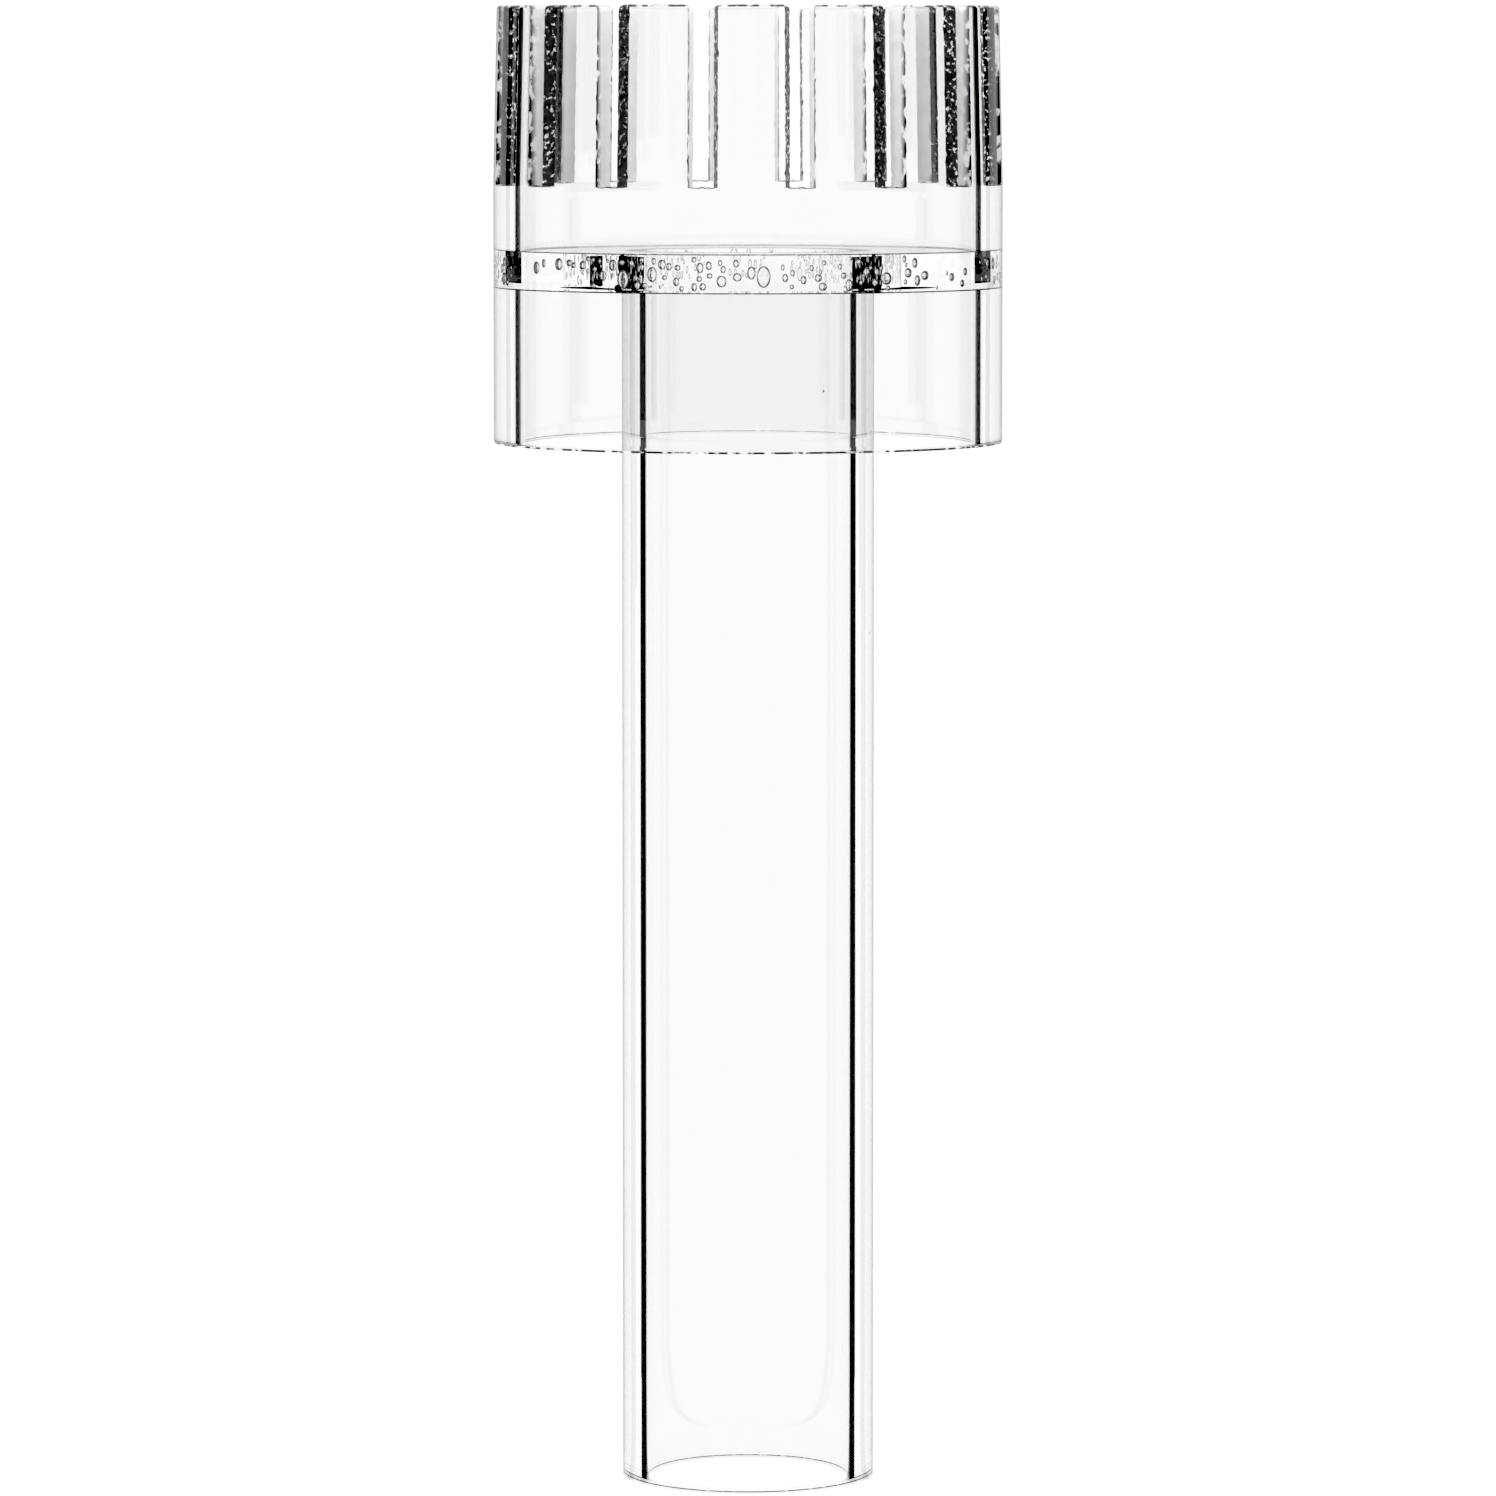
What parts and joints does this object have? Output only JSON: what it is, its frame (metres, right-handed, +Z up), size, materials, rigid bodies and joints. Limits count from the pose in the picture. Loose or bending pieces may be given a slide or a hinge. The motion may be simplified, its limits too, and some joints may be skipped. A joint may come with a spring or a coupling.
{
  "type": "slotted weir standpipe",
  "caption": "Clear acrylic overflow: a slotted weir cup with a divider disc inside, on a narrower drain tube that hangs from the disc.",
  "frame": {"origin": "centre of the drain tube's bottom rim, on the common axis", "axes": "+Z up along the common axis, from the drain tube's bottom rim to the weir's slotted rim; one slot faces -Y"},
  "size_m": [0.05, 0.05, 0.1454],
  "materials": {
    "clear_acrylic_tube": "clear extruded acrylic, polished, with fine handling marks; saw-cut edges are frosted",
    "clear_acrylic_sheet": "clear cast acrylic sheet, polished faces",
    "solvent_cement": "clear cured solvent cement with trapped air bubbles"
  },
  "bodies": {
    "root": {"weir_tube": "clear_acrylic_tube", "divider_disc": "clear_acrylic_sheet", "drain_tube": "clear_acrylic_tube", "rim_cement": "solvent_cement", "drain_cement": "solvent_cement"}
  },
  "joints": []
}
